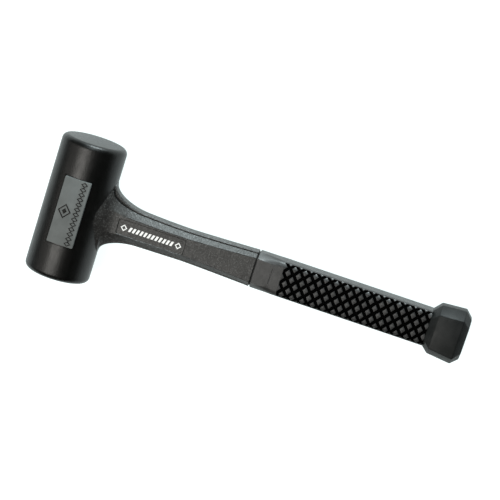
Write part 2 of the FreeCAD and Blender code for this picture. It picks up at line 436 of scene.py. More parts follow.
class Bench:
    """Finishes pieces: meshes, shading, materials, the bodies they ride on and the frame's parts they hide.
    """

    def __init__(self) -> None:
        """Start with no materials made."""
        self.materials: dict[str, bpy.types.Material] = {}

    def material(self, finish: MouldedFinish | SteelFinish | PrintFinish) -> bpy.types.Material:
        """The material of a finish, made once.

        Args:
            finish: The finish to make or look up.

        Returns:
            Its material.
        """
        if finish.name not in self.materials:
            self.materials[finish.name] = finish.build()
        return self.materials[finish.name]

    def mesh_from(self, bm: Shape, name: str, crease: float = 32.0) -> bpy.types.Object:
        """Make a smooth-shaded object with sharp creases from a bmesh, and free the bmesh.

        Args:
            bm: The shape, in metres in the row frame.
            name: The object's name.
            crease: Angle in degrees above which an edge shows as a crease.

        Returns:
            The linked object.
        """
        mesh = bpy.data.meshes.new(name)
        bm.to_mesh(mesh)
        bm.free()
        mesh.shade_smooth()
        mesh.set_sharp_from_angle(angle=math.radians(crease))
        made = bpy.data.objects.new(name, mesh)
        bpy.context.scene.collection.objects.link(made)
        return made

    def finish(self, bm: Shape, piece: Piece) -> None:
        """Turn a bmesh into a finished piece of the mallet.

        Args:
            bm: The shape, in metres in the row frame.
            piece: Its name, finish, body and the frame's parts it stands in for.
        """
        made = self.mesh_from(bm, piece.name, piece.crease)
        made.data.materials.append(self.material(piece.finish))
        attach(made, piece.body)
        if piece.stands_for:
            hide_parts(*piece.stands_for)
        LOG.info("%s: %d faces", piece.name, len(made.data.polygons))

    def dress_node(self, node: str, finish: SteelFinish) -> None:
        """Give a piece that came with the frame its finish.

        Args:
            node: The CAD node's name.
            finish: The steel it is made of.
        """
        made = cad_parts[node]
        made.data.materials.clear()
        made.data.materials.append(self.material(finish))
        LOG.info("%s: dressed in %s", node, finish.name)

    def carve(self, bm: Shape, cutters: Iterable[Shape]) -> Shape:
        """Cut closed shapes out of a closed shape.

        Args:
            bm: The shape to cut, freed here.
            cutters: The shapes to take away, freed here.

        Returns:
            The carved shape.
        """
        blank = self.mesh_from(bm, "carving_blank")
        tools = [self.mesh_from(cutter, "carving_tool") for cutter in cutters]
        for tool in tools:
            cut = blank.modifiers.new(tool.name, "BOOLEAN")
            cut.operation = "DIFFERENCE"
            cut.solver = "EXACT"
            cut.object = tool
        bpy.context.view_layer.update()
        carved = bmesh.new()
        carved.from_object(blank, bpy.context.evaluated_depsgraph_get())
        for used in [blank, *tools]:
            mesh = used.data
            bpy.data.objects.remove(used)
            bpy.data.meshes.remove(mesh)
        return carved


def move(bm: Shape, by: Point, verts: Sequence[Vert] | None = None) -> None:
    """Shift a shape, or only the vertices given."""
    bmesh.ops.translate(bm, vec=Vector(by), verts=bm.verts if verts is None else verts)


def scale(bm: Shape, by: Point, verts: Sequence[Vert] | None = None) -> None:
    """Scale a shape about the origin, or only the vertices given."""
    bmesh.ops.scale(bm, vec=Vector(by), verts=bm.verts if verts is None else verts)


def round_off(bm: Shape, edges: Iterable[bmesh.types.BMEdge], radius: float, segments: int) -> None:
    """Round edges to a radius, with so many faces across each."""
    bmesh.ops.bevel(bm, geom=list(edges), offset=radius, segments=segments, profile=0.5,
                    affect="EDGES", material=-1)


def block(size: Point, centre: Point, corner: float = 0.0, segments: int = 3) -> Shape:
    """A box, with the edges that run along Z rounded where a corner is given.

    Args:
        size: Length along each axis.
        centre: Middle of the box.
        corner: Radius of its upright edges.
        segments: Faces across each rounded edge.

    Returns:
        The box.
    """
    bm = bmesh.new()
    bmesh.ops.create_cube(bm, size=1.0)
    scale(bm, size)
    if corner > 0:
        upright = [e for e in bm.edges if abs((e.verts[0].co - e.verts[1].co).z) > 0.5 * size[2]]
        round_off(bm, upright, corner, segments)
    move(bm, centre)
    return bm


def raised_diamond(half: Pair, height: float, ring: float = 0.0) -> Shape:
    """A flat-topped diamond that stands on the plane z = 0.

    Args:
        half: Its half widths along X and Y.
        height: Its height.
        ring: Width of the ring, or zero for a solid diamond.

    Returns:
        The diamond as a closed bmesh.
    """
    bm = bmesh.new()
    bmesh.ops.create_circle(bm, cap_ends=True, segments=4, radius=1.0)
    scale(bm, (*half, 1.0))
    if ring > 0:
        bmesh.ops.inset_region(bm, faces=bm.faces[:], thickness=ring, use_boundary=True)
        middle = [f for f in bm.faces if f.calc_center_median().length < ring * 0.1]
        bmesh.ops.delete(bm, geom=middle, context="FACES")
    grown = bmesh.ops.extrude_face_region(bm, geom=bm.faces[:])
    lifted = [v for v in grown["geom"] if isinstance(v, Vert)]
    move(bm, (0, 0, height), lifted)
    bmesh.ops.recalc_face_normals(bm, faces=bm.faces)
    return bm


def gather(parts: Sequence[Shape]) -> Shape:
    """Join several bmeshes into the first one and free the rest.

    Args:
        parts: The bmeshes, at least one.

    Returns:
        The first one, with all their faces.
    """
    first = parts[0]
    for part in parts[1:]:
        spare = bpy.data.meshes.new("spare")
        part.to_mesh(spare)
        part.free()
        first.from_mesh(spare)
        bpy.data.meshes.remove(spare)
    return first


class SectionLoft:
    """A skin drawn through closed sections, one ring of vertices at a time."""

    def __init__(self, first: Sequence[Point]) -> None:
        """Start with one section.

        Args:
            first: The section's points in order.
        """
        self.bm = bmesh.new()
        made = bmesh.ops.create_circle(self.bm, cap_ends=False, segments=len(first), radius=1.0)
        self.ring: list[Vert] = list(made["verts"])
        self.first = list(self.ring)
        self._shape(first)

    def _shape(self, points: Sequence[Point]) -> None:
        """Move the newest ring onto a section's points."""
        for vert, point in zip(self.ring, points):
            vert.co = Vector(point)

    def draw(self, points: Sequence[Point]) -> None:
        """Extrude the newest ring to the next section.

        Args:
            points: The next section's points, as many as the first had.
        """
        edges = [self.bm.edges.get((a, b)) for a, b in zip(self.ring, self.ring[1:] + self.ring[:1])]
        grown = bmesh.ops.extrude_edge_only(self.bm, edges=edges)["geom"]
        fresh = {v for v in grown if isinstance(v, Vert)}
        self.ring = [
            next(e.other_vert(v) for e in v.link_edges if e.other_vert(v) in fresh) for v in self.ring
        ]
        self._shape(points)

    def close(self) -> Shape:
        """Cap both ends and turn the faces outwards.

        Returns:
            The closed shape.
        """
        for ring in (self.first, self.ring):
            edges = [self.bm.edges.get((a, b)) for a, b in zip(ring, ring[1:] + ring[:1])]
            bmesh.ops.edgeloop_fill(self.bm, edges=edges)
        bmesh.ops.recalc_face_normals(self.bm, faces=self.bm.faces)
        return self.bm


def loft(sections: Sequence[Sequence[Point]]) -> Shape:
    """Closed shape through a list of sections.

    Args:
        sections: The sections in order, each with as many points.

    Returns:
        The closed shape.
    """
    skin = SectionLoft(sections[0])
    for section in sections[1:]:
        skin.draw(section)
    return skin.close()


def mirrored_round(quarter: Sequence[Pair], x: float, y0: float) -> list[Point]:
    """Whole section across the handle from its first quarter.

    Args:
        quarter: Points (y, z) from one broad side's middle round to a narrow side's, both left out.
        x: Station along the handle.
        y0: Height of the handle's axis on the head.

    Returns:
        The section's points in order round the handle.
    """
    half = [*quarter, *[(y, -z) for y, z in reversed(quarter)]]
    whole = [*half, *[(-y, -z) for y, z in half]]
    return [(x, y0 + y, z) for y, z in whole]


# --- Head ---


@dataclass
class Head:
    """The moulded head: casing with rounded rims, and a flat pad with relief on each side."""

    bench: Bench
    rim: float = 4.5 * MM
    wall_to_cap: float = 13.0 * MM
    canister_radius: float = 19.0 * MM
    pad_size: Pair = (20.2 * MM, 51.2 * MM)
    pad_sink: float = 3.5 * MM
    pad_corner: float = 0.8 * MM
    trench_width: float = 0.9 * MM
    trench_depth: float = 0.8 * MM
    relief_height: float = 0.40 * MM
    relief_root: float = 0.30 * MM
    relief_edge: float = 0.12 * MM
    relief_count: int = 13
    relief_pitch: float = 3.85 * MM
    relief_column: float = 5.5 * MM
    relief_half: Pair = (2.6 * MM, 1.90 * MM)
    relief_ring: float = 0.80 * MM
    mark_x: float = -3.5 * MM
    mark_half: Pair = (5.0 * MM, 5.6 * MM)
    mark_ring: float = 1.1 * MM
    mark_core: Pair = (1.9 * MM, 2.2 * MM)
    pad_edge: float = 0.22 * MM
    room_rim: float = 0.2 * MM
    round_steps: int = 128
    rim_steps: int = 10
    cutter_depth: float = 20 * MM
    cutter_sink: float = 8 * MM
    cutter_spare: float = 10 * MM
    cutter_rim: float = 0.1 * MM

    def __post_init__(self) -> None:
        """Read the head's place from the frame."""
        low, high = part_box("head_casing")
        self.radius = high.x
        self.length = high.y
        self.middle = (low.y + high.y) / 2
        self.pad_top = high.z

    def cylinder(self, radius: float, low: float, high: float, rim: float) -> Shape:
        """Closed cylinder up the head's axis with rounded rims.

        Args:
            radius: Its radius.
            low: Its lower end.
            high: Its upper end.
            rim: Radius of its rims.

        Returns:
            The cylinder.
        """
        bm = bmesh.new()
        bmesh.ops.create_cone(bm, cap_ends=True, segments=self.round_steps, radius1=radius,
                              radius2=radius, depth=high - low)
        rims = [e for e in bm.edges if abs(e.verts[0].co.z - e.verts[1].co.z) < 1e-6]
        round_off(bm, rims, rim, self.rim_steps)
        bmesh.ops.rotate(bm, matrix=Matrix.Rotation(-math.pi / 2, 3, "X"), verts=bm.verts)
        move(bm, (0, (low + high) / 2, 0))
        return bm

    def casing(self) -> None:
        """The casing, closed outside and with the canister's room inside."""
        outer = self.cylinder(self.radius, 0.0, self.length, self.rim)
        low, high = self.wall_to_cap, self.length - self.wall_to_cap
        room = self.cylinder(self.canister_radius, low, high, self.room_rim)
        bmesh.ops.reverse_faces(room, faces=room.faces)
        trenches = [self.trench(side) for side in Side]
        shape = gather([self.bench.carve(outer, trenches), room])
        self.bench.finish(shape, Piece("head_moulding", HEAD_FINISH, "casing", ("head_casing",)))

    def trench(self, side: Side) -> Shape:
        """The shallow gap round a pad, following the head's curve.

        Args:
            side: The pad's side.

        Returns:
            The shape to cut away.
        """
        width, length = (size + 2 * self.trench_width for size in self.pad_size)
        z = side.value * (self.radius - self.cutter_sink)
        slab = block((width, length, self.cutter_depth), (0.0, self.middle, z))
        spare = self.cutter_spare
        core = self.cylinder(self.radius - self.trench_depth, -spare, self.length + spare, self.cutter_rim)
        return self.bench.carve(slab, [core])

    def pad(self, side: Side) -> None:
        """The flat pad on one side of the head.

        Args:
            side: The side it stands on.
        """
        size = (*self.pad_size, self.pad_sink)
        centre = (0.0, self.middle, side.value * (self.pad_top - self.pad_sink / 2))
        bm = block(size, centre, self.pad_corner, 4)
        outer = side.value * self.pad_top
        rim = [e for e in bm.edges if all(abs(v.co.z - outer) < 1e-6 for v in e.verts)]
        round_off(bm, rim, self.pad_edge, 3)
        self.bench.finish(bm, Piece(f"side_pad_{side.word}", PAD_FINISH, "casing"))

    def diamond(self, place: Pair, half: Pair, side: Side, ring: float = 0.0) -> Shape:
        """A raised diamond on the pad, solid or as a ring.

        Args:
            place: Its middle along X and Y.
            half: Its half widths.
            side: The pad's side.
            ring: Width of the ring, or zero for a solid diamond.

        Returns:
            The diamond.
        """
        bm = raised_diamond(half, self.relief_height + self.relief_root, ring)
        top = [e for e in bm.edges if all(v.co.z > self.relief_height * 0.5 for v in e.verts)]
        round_off(bm, top, self.relief_edge, 2)
        move(bm, (*place, self.pad_top - self.relief_root))
        if side is Side.LOWER:
            scale(bm, (1, 1, -1))
            bmesh.ops.recalc_face_normals(bm, faces=bm.faces)
        return bm

    def relief(self, side: Side) -> None:
        """Plain raised diamonds: a column along the pad's handle edge and a ringed one beside it.

        Args:
            side: The pad's side.
        """
        shapes = []
        for index in range(self.relief_count):
            y = self.middle + (index - (self.relief_count - 1) / 2) * self.relief_pitch
            shapes.append(self.diamond((self.relief_column, y), self.relief_half, side, self.relief_ring))
        mark = (self.mark_x, self.middle)
        shapes.append(self.diamond(mark, self.mark_half, side, self.mark_ring))
        shapes.append(self.diamond(mark, self.mark_core, side))
        self.bench.finish(gather(shapes), Piece(f"pad_relief_{side.word}", RELIEF_SHADE_FINISH, "casing"))

    def build(self) -> None:
        """Make every piece of the head."""
        self.casing()
        for side in Side:
            self.pad(side)
            self.relief(side)


# --- Neck ---


@dataclass
class Neck:
    """The moulded neck: an eight-sided bar that flares into a saddle on the head's flank."""

    bench: Bench
    thickness: float = 21.6 * MM
    front_flat: float = 13.2 * MM
    top_flat: float = 9.6 * MM
    waist_height: float = 23.8 * MM
    waist_share: float = 0.38
    seam_height: float = 27.4 * MM
    seam_front_flat: float = 19.0 * MM
    flare_reach: float = 29.0 * MM
    flare_end_height: float = 25.0 * MM
    flare_rise: float = 14.1 * MM
    side_rise: float = 8.0 * MM
    side_reach: float = 9.0 * MM
    root: float = 9.0 * MM
    upper_growth: float = 2.5 * MM
    upper_reach: float = 55.0 * MM
    front_growth: float = 3.0 * MM
    groove_width: float = 1.40 * MM
    groove_depth: float = 1.3
    band_width: float = 1.1 * MM
    line_width: float = 0.22 * MM
    line_depth: float = 0.32 * MM
    label_start: float = 35.7 * MM
    label_drop: float = 0.8 * MM
    label_size: Pair = (52.0 * MM, 11.4 * MM)
    label_depth: float = 0.75 * MM
    label_flank: float = 0.55 * MM
    seam_chamfer: float = 0.75 * MM
    print_skin: float = 0.10 * MM
    print_end: float = 21.3 * MM
    print_half: Pair = (2.6 * MM, 2.6 * MM)
    print_ring: float = 1.05 * MM
    bar_count: int = 12
    bar_pitch: float = 2.95 * MM
    bar_size: Pair = (1.75 * MM, 3.6 * MM)
    bar_lean: float = 0.35
    climb_power: float = 1.25
    groove_swell: float = 2.4
    groove_close: float = 0.9
    groove_limit: float = 3.0 * MM
    line_fade: float = 6 * MM
    foot_power: float = 1.5
    foot_steps: int = 22
    bar_steps: int = 16
    label_corner: float = 1.6 * MM
    cutter_ends: Pair = (-20 * MM, 126 * MM)
    cutter_rim: float = 0.1 * MM

    def __post_init__(self) -> None:
        """Read the neck's place from the frame."""
        _, head_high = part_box("head_casing")
        self.head_radius = head_high.x
        self.middle = head_high.y / 2
        self.seam_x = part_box("neck_sleeve")[1].x
        self.flare_end = self.head_radius + self.flare_reach

    def sizes(self, x: float) -> tuple[float, float, float, float]:
        """Half height, half front flat, half thickness and flare share at a station.

        Args:
            x: Station along the handle.

        Returns:
            Half height, half width of the front flat, half thickness, and how far the flare has grown.
        """
        rise = min(max((self.flare_end - x) / self.flare_reach, 0.0), 1.0)
        grown = 1 - math.sqrt(1 - rise ** 2)
        side = max((self.head_radius + self.side_reach - x) / (self.side_reach + self.root), 0.0) ** 2
        half_z = self.thickness / 2 + self.side_rise * side
        waist_x = self.flare_end + (self.seam_x - self.flare_end) * self.waist_share
        if x <= waist_x:
            fall = min(max((x - self.flare_end) / (waist_x - self.flare_end), 0.0), 1.0)
            half_y = self.flare_end_height / 2 + (self.waist_height - self.flare_end_height) / 2 * fall
            front = self.front_flat / 2
        else:
            climb = ((x - waist_x) / (self.seam_x - waist_x)) ** self.climb_power
            half_y = self.waist_height / 2 + (self.seam_height - self.waist_height) / 2 * climb
            front = self.front_flat / 2 + (self.seam_front_flat - self.front_flat) / 2 * climb
        return half_y + self.flare_rise * grown, front + self.front_growth * grown, half_z, grown

    def section(self, x: float) -> list[Point]:
        """The neck's section: flats and bevels that round off into the foot, and the mould's grooves.

        Args:
            x: Station along the handle.

        Returns:
            The section's points.
        """
        upper, lower = (mirrored_round(self.quarter(x, above), x, self.middle) for above in (True, False))
        share = min(max((self.head_radius + self.upper_reach - x) / self.upper_reach, 0.0), 1.0)
        stretch = 1 + self.upper_growth * share ** 2 / self.sizes(x)[0]
        return [
            (x, self.middle + (up[1] - self.middle) * stretch, up[2]) if up[1] > self.middle else low
            for up, low in zip(upper, lower)
        ]

    def quarter(self, x: float, above: bool) -> list[Pair]:
        """A quarter of the section at a station.

        Args:
            x: Station along the handle.
            above: True for the upper side, where the grooves widen towards the head.

        Returns:
            Points from the broad face round to the narrow one, as distances from the middle.
        """
        half_y, front, half_z, grown = self.sizes(x)
        top = self.top_flat / 2
        start = Vector((front, half_z))
        edge = Vector((half_y, top))
        slope = (edge - start).normalized()
        swell = 1 + self.groove_swell * grown if above else 1 - grown * self.groove_close
        gap = self.groove_width * swell
        band = self.band_width * (1 + grown)
        deep = min(self.groove_depth * gap, self.groove_limit)
        line = self.line_width
        fade = min(max((x - self.label_start) / self.line_fade, 0.0), 1.0)
        low_edge = edge - slope * (gap + band)
        after_line = start + slope * line
        path = [
            (Vector((front * 0.4, half_z)), 0.0),
            (Vector((front * 0.8, half_z)), 0.0),
            (Vector((front - line, half_z)), 0.0),
            (start, self.line_depth * fade),
            (after_line, 0.0),
            (after_line.lerp(low_edge, 0.35), 0.0),
            (after_line.lerp(low_edge, 0.7), 0.0),
            (low_edge, 0.0),
            (edge - slope * (band + gap * 0.8), deep),
            (edge - slope * band, 0.0),
            (edge, 0.0),
            (Vector((half_y, top * 0.5)), 0.0),
        ]
        rounding = grown ** self.foot_power
        quarter = []
        for point, sunk in path:
            unit = Vector((point.x / half_y, point.y / half_z))
            oval = Vector((point.x, point.y)) / unit.length
            placed = point.lerp(oval, rounding)
            outward = Vector((placed.x / half_y ** 2, placed.y / half_z ** 2)).normalized()
            quarter.append(tuple(placed - outward * sunk))
        return quarter

    def stations(self) -> list[float]:
        """Stations along the neck, close together where it curves.

        Returns:
            Places along the handle, from the head outwards.
        """
        steps, count = self.foot_steps, self.bar_steps
        places = [self.head_radius - self.root]
        for step in range(steps, -1, -1):
            places.append(self.flare_end - self.flare_reach * math.sin(math.pi / 2 * step / steps))
        places += [self.flare_end + (self.seam_x - self.flare_end) * n / count for n in range(1, count + 1)]
        return places

    def label_cutter(self, side: Side) -> Shape:
        """The shallow rounded recess that holds the print.

        Args:
            side: The broad side it is sunk in.

        Returns:
            The shape to cut away.
        """
        length, width = self.label_size
        depth = 4.0 * MM
        z = side.value * (self.thickness / 2 - self.label_depth + depth / 2)
        centre = (self.label_start + length / 2, self.middle - self.label_drop, z)
        bm = block((length, width, depth), centre, self.label_corner, 5)
        widen = 1 + 2 * self.label_flank * depth / self.label_depth / length
        outer = [v for v in bm.verts if abs(v.co.z) > self.thickness / 2]
        to_middle = Matrix.Translation(-Vector(centre))
        stretch = Vector((widen, 1 + (widen - 1) * length / width, 1.0))
        bmesh.ops.scale(bm, vec=stretch, space=to_middle, verts=outer)
        return bm

    def moulding(self) -> None:
        """The neck itself, trimmed to the head's flank and chamfered at the grip."""
        sections = [self.section(x) for x in self.stations()]
        last = sections[-1]
        chamfer = self.seam_chamfer
        sections[-1] = [(p[0] - chamfer, p[1], p[2]) for p in last]
        shrink = 1 - 1.5 * chamfer / (self.thickness / 2)
        sections.append([(p[0], self.middle + (p[1] - self.middle) * shrink, p[2] * shrink) for p in last])
        flank = Head(self.bench).cylinder(self.head_radius, *self.cutter_ends, self.cutter_rim)
        bm = self.bench.carve(loft(sections), [flank, *[self.label_cutter(side) for side in Side]])
        piece = Piece("neck_moulding", NECK_FINISH, "neck_moulding", ("neck_sleeve",), crease=26.0)
        self.bench.finish(bm, piece)

    def print_band(self, side: Side) -> None:
        """White generic marks in the recess: slanted bars between two diamonds.

        Args:
            side: The broad side it is printed on.
        """
        middle_x = self.label_start + self.label_size[0] / 2
        middle_y = self.middle - self.label_drop
        z = side.value * (self.thickness / 2 - self.label_depth)
        skin = self.print_skin
        shapes = []
        for end in (-1, 1):
            bm = raised_diamond(self.print_half, skin, self.print_ring)
            move(bm, (middle_x + end * self.print_end, middle_y, z - skin / 2))
            shapes.append(bm)
        lean = Matrix(((1, self.bar_lean, 0, 0), (0, 1, 0, 0), (0, 0, 1, 0), (0, 0, 0, 1)))
        for index in range(self.bar_count):
            x = middle_x + (index - (self.bar_count - 1) / 2) * self.bar_pitch
            bm = block((*self.bar_size, skin), (0, 0, 0))
            bmesh.ops.transform(bm, matrix=lean, verts=bm.verts)
            move(bm, (x, middle_y, z))
            shapes.append(bm)
        self.bench.finish(gather(shapes), Piece(f"neck_print_{side.word}", PRINT_FINISH, "neck_moulding"))

    def build(self) -> None:
        """Make the neck and its print."""
        self.moulding()
        for side in Side:
            self.print_band(side)


# --- Grip ---


@dataclass
class Grip:
    """The rubber grip: a bevelled collar, smooth edges, and staggered diamond studs on both broad sides."""

    bench: Bench
    height: float = 27.4 * MM
    thickness: float = 22.4 * MM
    corner: float = 5.0 * MM
    collar_length: float = 18.0 * MM
    smooth_length: float = 21.2 * MM
    lip: float = 0.75 * MM
    slit_place: float = 13.2 * MM
    slit_size: Point = (0.55 * MM, 11.6 * MM, 2.0 * MM)
    seam_step: float = 0.4 * MM
    stud_height: float = 1.9 * MM
    column_pitch: float = 4.04 * MM
    row_pitch: float = 4.28 * MM
    stud_top: Pair = (1.90 * MM, 2.45 * MM)
    stud_foot: Pair = (3.35 * MM, 4.35 * MM)
    stud_edge: float = 0.16 * MM
    bend_step: float = 1.1 * MM
    rows: int = 8
    band_angle: float = 62.0
    stud_sink: float = 0.15 * MM
    bend_cuts: int = 3
    blend_power: float = 1.2
    step_down: float = 0.2 * MM
    band_tuck: float = 0.3 * MM
    ground_tuck: float = 1.0 * MM

    def __post_init__(self) -> None:
        """Read the grip's place from the frame."""
        low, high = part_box("grip_sleeve")
        self.seam_x = low.x
        self.end_x = high.x
        self.middle = (low.y + high.y) / 2
        self.flat_y = self.height / 2 - self.corner
        self.flat_z = self.thickness / 2 - self.corner
        self.neck = Neck(self.bench)
        self.studs_x = self.seam_x + self.smooth_length
        self.band_s = self.flat_y + self.corner * math.radians(self.band_angle)

    def wrap(self, x: float, s: float, rise: float, side: Side) -> Vector:
        """Lay a point of the flat stud pattern on the grip.

        Args:
            x: Place along the handle.
            s: Distance round the grip from the middle of its broad side.
            rise: Height above the stud tops, negative below them.
            side: Which broad side.

        Returns:
            The point in the row frame.
        """
        run = abs(s) - self.flat_y
        if run <= 0:
            y, z = abs(s), self.thickness / 2 + rise
        else:
            angle = run / self.corner
            y = self.flat_y + (self.corner + rise) * math.sin(angle)
            z = self.flat_z + (self.corner + rise) * math.cos(angle)
        return Vector((x, self.middle + math.copysign(y, s), side.value * z))

    def section(self, x: float, rise: float, share: float = 1.0) -> list[Point]:
        """Section of the grip, blended from the neck's octagon to the full rounded shape.

        Args:
            x: Station along the handle.
            rise: Height above the stud tops, negative below them.
            share: Zero for the octagon at the seam, one for the full section.

        Returns:
            The section's points.
        """
        neck = self.neck
        steps = 10
        quarter = []
        for step in range(steps + 1):
            angle = math.pi / 2 * step / steps
            full = Vector((self.flat_y + (self.corner + rise) * math.sin(angle),
                           self.flat_z + (self.corner + rise) * math.cos(angle)))
            start = Vector((neck.seam_front_flat / 2, (neck.thickness + self.seam_step) / 2))
            end = Vector(((neck.seam_height + self.seam_step) / 2, neck.top_flat / 2))
            bevel = start.lerp(end, step / steps)
            quarter.append(tuple(bevel.lerp(full, share)))
        quarter = [(quarter[0][0] * 0.5, quarter[0][1]), *quarter, (quarter[-1][0], quarter[-1][1] * 0.5)]
        return mirrored_round(quarter, x, self.middle)

    def collar(self) -> Shape:
        """The smooth collar between the neck's seam and the studs, with its witness line.

        Returns:
            The collar.
        """
        lip = self.lip
        shrink = 1 - 1.5 * lip / (self.thickness / 2)
        first = self.section(self.seam_x, 0.0, 0.0)
        sections = [[(p[0], self.middle + (p[1] - self.middle) * shrink, p[2] * shrink) for p in first]]
        sections.append(self.section(self.seam_x + lip, 0.0, 0.0))
        count = 14
        for step in range(1, count + 1):
            share = step / count
            x = self.seam_x + lip + (self.collar_length - lip) * share
            sections.append(self.section(x, 0.0, share ** self.blend_power))
        sections.append(self.section(self.studs_x - self.step_down, 0.0))
        sections.append(self.section(self.studs_x, -self.step_down))
        line_x = self.seam_x + self.slit_place
        places = [(line_x, self.middle, side.value * self.thickness / 2) for side in Side]
        return self.bench.carve(loft(sections), [block(self.slit_size, place) for place in places])

    def ground(self) -> Shape:
        """The sleeve at the bottom of the grooves.

        Returns:
            The sleeve.
        """
        places = (self.studs_x - self.ground_tuck, self.end_x)
        return loft([self.section(x, -self.stud_height) for x in places])

    def band(self, above: int) -> Shape:
        """A smooth raised band along one narrow edge of the grip.

        Args:
            above: One for the band on the upper striking side, minus one for the other.

        Returns:
            The band.
        """
        steps = 12
        start = math.radians(self.band_angle)
        outer: list[Pair] = []
        inner: list[Pair] = []
        for side in (1, -1):
            angles = [start + (math.pi / 2 - start) * n / steps for n in range(steps + 1)]
            for angle in angles if side > 0 else reversed(angles):
                for path, rise in ((outer, 0.0), (inner, -self.stud_height - self.band_tuck)):
                    y = self.flat_y + (self.corner + rise) * math.sin(angle)
                    z = self.flat_z + (self.corner + rise) * math.cos(angle)
                    path.append((above * y, side * z))
        shape = [*outer, *reversed(inner)]
        ends = (self.studs_x - self.band_tuck, self.end_x)
        return loft([[(x, self.middle + y, z) for y, z in shape] for x in ends])

    def stud(self) -> Shape:
        """One flat-topped diamond stud with its foot at height zero.

        Returns:
            The stud, open underneath.
        """
        bm = bmesh.new()
        bmesh.ops.create_circle(bm, cap_ends=True, segments=4, radius=1.0)
        scale(bm, (*self.stud_top, 1.0))
        move(bm, (0, 0, self.stud_height))
        skirt = bmesh.ops.extrude_edge_only(bm, edges=bm.edges[:])["geom"]
        foot = [v for v in skirt if isinstance(v, Vert)]
        scale(bm, (self.stud_foot[0] / self.stud_top[0], self.stud_foot[1] / self.stud_top[1], 1.0), foot)
        move(bm, (0, 0, -self.stud_height - self.stud_sink), foot)
        crown = [e for e in bm.edges if all(v.co.z > 0.5 * self.stud_height for v in e.verts)]
        high = [e for e in bm.edges if any(v.co.z > 0.5 * self.stud_height for v in e.verts)]
        hips = [e for e in high if e not in crown]
        round_off(bm, crown + hips, self.stud_edge, 2)
        for y in (-self.row_pitch, self.row_pitch):
            self.trim(bm, Vector((0, y, 0)), Vector((0, math.copysign(1.0, y), 0)))
        for step in range(-self.bend_cuts, self.bend_cuts + 1):
            everything = [*bm.verts, *bm.edges, *bm.faces]
            place = Vector((0, step * self.bend_step, 0))
            bmesh.ops.bisect_plane(bm, geom=everything, plane_co=place, plane_no=Vector((0, 1, 0)))
        bmesh.ops.recalc_face_normals(bm, faces=bm.faces)
        return bm

    @staticmethod
    def trim(bm: Shape, place: Vector, outward: Vector) -> None:
        """Cut away what lies beyond a plane."""
        everything = [*bm.verts, *bm.edges, *bm.faces]
        bmesh.ops.bisect_plane(bm, geom=everything, plane_co=place, plane_no=outward, clear_outer=True)

    def studs(self, side: Side) -> Shape:
        """Every stud of one broad side, trimmed to the patterned field and laid on the grip.

        Args:
            side: The broad side they stand on.

        Returns:
            The studs, open underneath where they sink into the sleeve.
        """
        tile = bpy.data.meshes.new("stud_tile")
        single = self.stud()
        single.to_mesh(tile)
        single.free()
        field = bmesh.new()
        columns = int((self.end_x - self.studs_x) / self.column_pitch) + 2
        for column in range(columns):
            for row in range(self.rows):
                if (row + column) % 2:
                    continue
                before = set(field.verts)
                field.from_mesh(tile)
                fresh = [v for v in field.verts if v not in before]
                x = self.studs_x + column * self.column_pitch
                y = (row - (self.rows - 1) / 2) * self.row_pitch
                move(field, (x, y, 0), fresh)
        bpy.data.meshes.remove(tile)
        self.trim(field, Vector((self.studs_x, 0, 0)), Vector((-1, 0, 0)))
        self.trim(field, Vector((self.end_x, 0, 0)), Vector((1, 0, 0)))
        for end in (-1, 1):
            self.trim(field, Vector((0, end * self.band_s, 0)), Vector((0, end, 0)))
        for vert in field.verts:
            vert.co = self.wrap(vert.co.x, vert.co.y, vert.co.z - self.stud_height, side)
        if side is Side.LOWER:
            bmesh.ops.reverse_faces(field, faces=field.faces)
        return field

    def build(self) -> None:
        """Make the grip."""
        studs = [self.studs(side) for side in Side]
        parts = [self.ground(), self.collar(), self.band(1), self.band(-1), *studs]
        # Rubber with painted shade in the grooves between the studs.
        rubber = StuddedFinish(
            "grip_rubber_black", (0.021, 0.021, 0.021), (0.034, 0.033, 0.033), (0.38, 0.48), Grain.FINE,
            5.0, shine=0.28, start_x=self.studs_x, middle=self.middle,
            flat=(self.flat_y, self.flat_z), corner=self.corner,
        )
        piece = Piece("grip_rubber", rubber, "grip_rubber", ("grip_sleeve",), crease=24.0)
        self.bench.finish(gather(parts), piece)


# --- Butt ---


@dataclass
class Butt:
    """The flared eight-sided butt with sloping ends."""

    bench: Bench
    start_size: Pair = (27.4 * MM, 22.4 * MM)
    wide_size: Pair = (36.6 * MM, 30.6 * MM)
    end_size: Pair = (40.6 * MM, 33.0 * MM)
    shoulder: float = 5.2 * MM
    chamfer: float = 5.3 * MM
    top_flat: float = 11.0 * MM
    bevel_height: float = 5.9 * MM
    upper_growth: float = 1.5 * MM
    end_upper_growth: float = 0.9 * MM
    edge_round: float = 0.60 * MM

    def __post_init__(self) -> None:
        """Read the butt's place from the frame."""
        self.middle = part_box("head_casing")[1].y / 2
        low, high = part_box("butt_cap")
        self.start_x = low.x
        self.end_x = high.x

    def section(self, x: float, size: Pair, upper_growth: float = 0.0) -> list[Point]:
        """An eight-sided section of the butt.

        Args:
            x: Station along the handle.
            size: Height along Y and thickness along Z.
            upper_growth: How much further out the upper half stands.

        Returns:
            The section's points.
        """
        half_y, half_z = size[0] / 2, size[1] / 2
        quarter = [(half_y - self.bevel_height, half_z), (half_y, self.top_flat / 2)]
        even = mirrored_round(quarter, x, self.middle)
        return [(px, py + upper_growth if py > self.middle else py, pz) for px, py, pz in even]

    def build(self) -> None:
        """Make the butt."""
        small = (self.end_size[0] - 2 * self.chamfer, self.end_size[1] - 2 * self.chamfer)
        bm = loft([
            self.section(self.start_x, self.start_size),
            self.section(self.start_x + self.shoulder, self.wide_size, self.upper_growth),
            self.section(self.end_x - self.chamfer, self.end_size, self.end_upper_growth),
            self.section(self.end_x, small, self.end_upper_growth),
        ])
        round_off(bm, bm.edges[:], self.edge_round, 3)
        self.bench.finish(bm, Piece("butt_moulding", BUTT_FINISH, "butt_moulding", ("butt_cap",)))


# --- Inside ---


